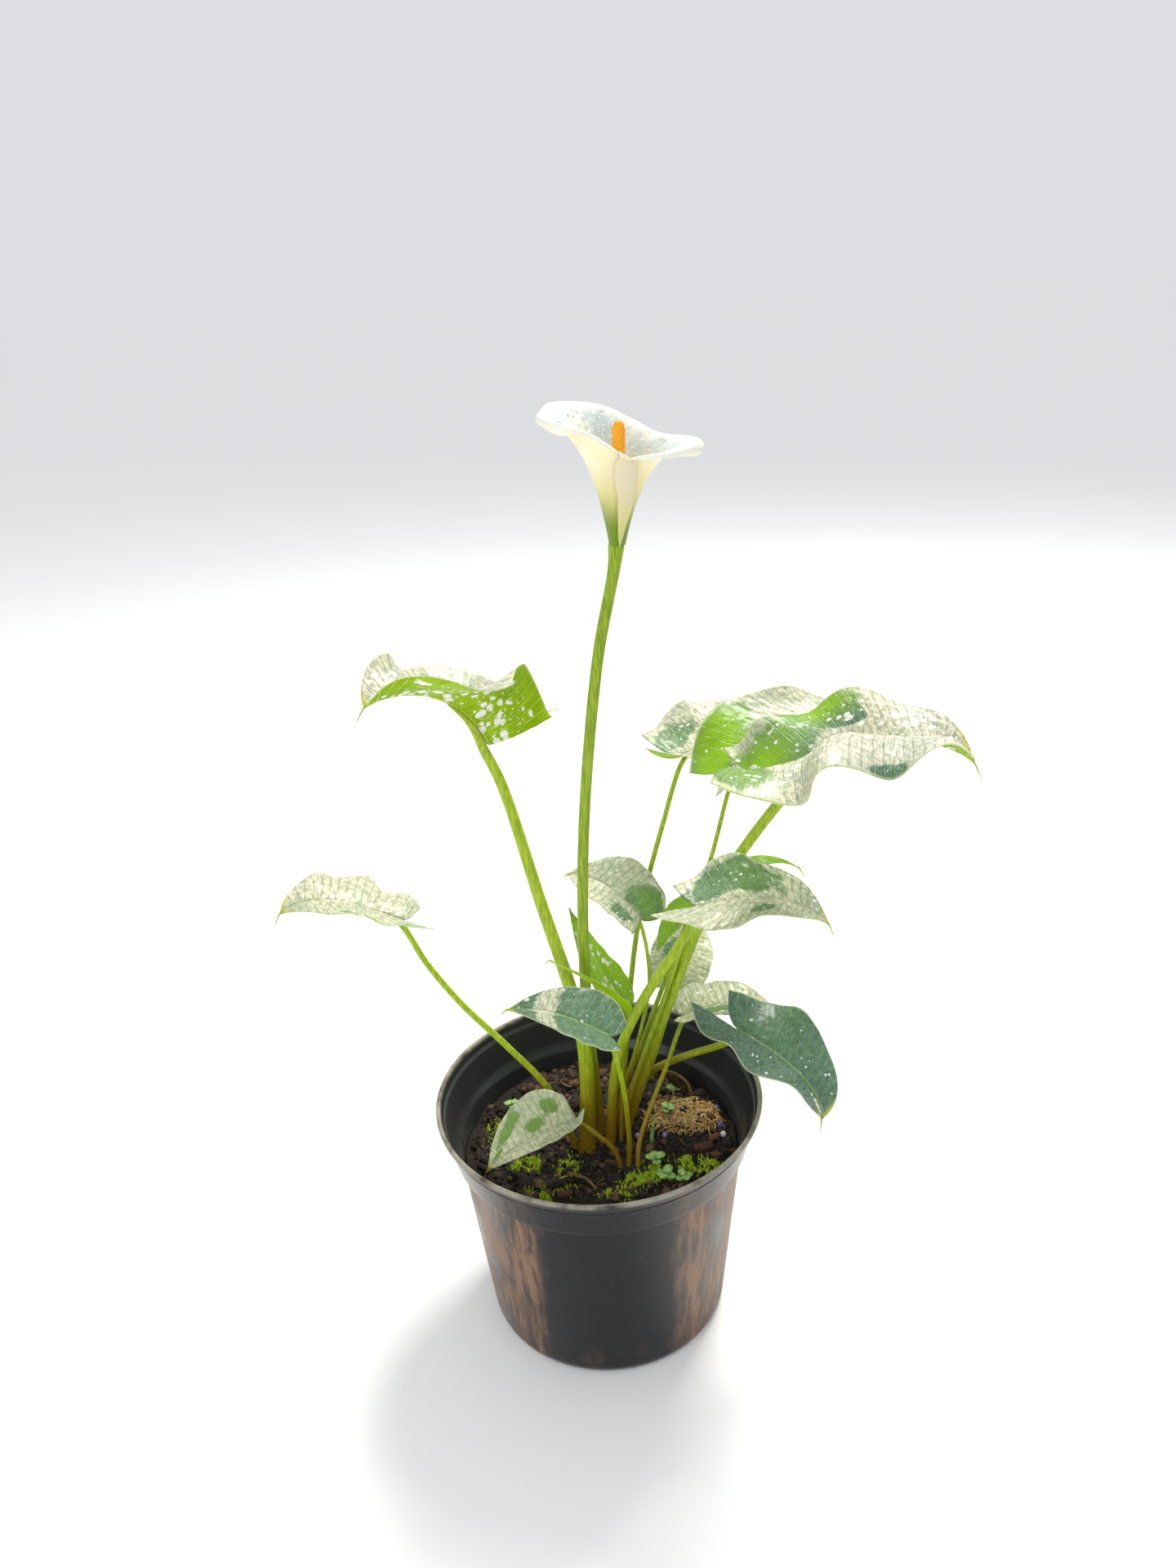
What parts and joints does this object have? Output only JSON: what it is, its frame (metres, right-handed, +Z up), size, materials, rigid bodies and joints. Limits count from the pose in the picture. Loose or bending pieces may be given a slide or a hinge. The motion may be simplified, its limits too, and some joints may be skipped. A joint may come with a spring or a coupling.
{
  "type": "potted arum lily",
  "caption": "Arum lily in a round black nursery pot: one white funnel flower on a tall stem above arrow-shaped leaves on long stalks.",
  "frame": {"origin": "middle of the pot's flat underside, on the surface that the pot stands on", "axes": "+Z up; +X to the right and -Y towards the viewer of the picture, which is the side that the flower opens to"},
  "size_m": [0.3682, 0.2222, 0.53],
  "materials": {
    "pot": "glossy black moulded plastic, paler and scuffed along the rim",
    "soil": "moist dark potting mix with green moss and tan bog moss, matt and crumbly",
    "leaf": "waxy blue-green blade with a bloom, white flecks and water drops, yellow-green beneath",
    "stalk": "smooth yellow-green stem with fine darker flecks, olive brown at its foot",
    "spathe": "satin cream white, translucent, greenish at its foot",
    "spadix": "matt orange-yellow, finely beaded",
    "dead_leaf": "dry brown, papery",
    "bark": "red-brown bark and twig, rough",
    "feed_bead": "coated bead of plant food, blue, violet or white",
    "seedling": "pale green, satin"
  },
  "bodies": {
    "root": {"pot": "pot", "flower_stem": "stalk", "spathe": "spathe", "spadix": "spadix", "leaf_tall_left": "leaf", "leaf_low_left": "leaf", "leaf_large_right": "leaf", "leaf_back_right": "leaf", "leaf_broad_back": "leaf", "leaf_front_small": "leaf", "leaf_middle_right": "leaf", "leaf_middle_left": "leaf", "leaf_upright_young": "leaf", "leaf_folded_young": "leaf", "leaf_over_soil": "leaf", "leaf_drooping_right": "leaf", "leaf_behind_drooping": "leaf", "leaf_at_back_rim": "leaf", "leaf_behind_middle": "leaf", "new_shoot": "stalk", "dead_stalk": "dead_leaf", "seedling_1": "seedling", "seedling_2": "seedling", "seedling_3": "seedling", "seedling_4": "seedling", "seedling_5": "seedling", "seedling_6": "seedling", "feed_bead_1": "feed_bead", "feed_bead_2": "feed_bead", "feed_bead_3": "feed_bead", "feed_bead_4": "feed_bead", "feed_bead_5": "feed_bead", "feed_bead_6": "feed_bead", "feed_bead_7": "feed_bead", "feed_bead_8": "feed_bead", "feed_bead_9": "feed_bead", "bark_chip_1": "bark", "bark_chip_2": "bark", "bark_chip_3": "bark", "bark_chip_4": "bark", "bark_chip_5": "bark", "dead_leaf_left": "dead_leaf", "dead_leaf_right": "dead_leaf", "twig": "bark", "soil": "soil"}
  },
  "joints": []
}
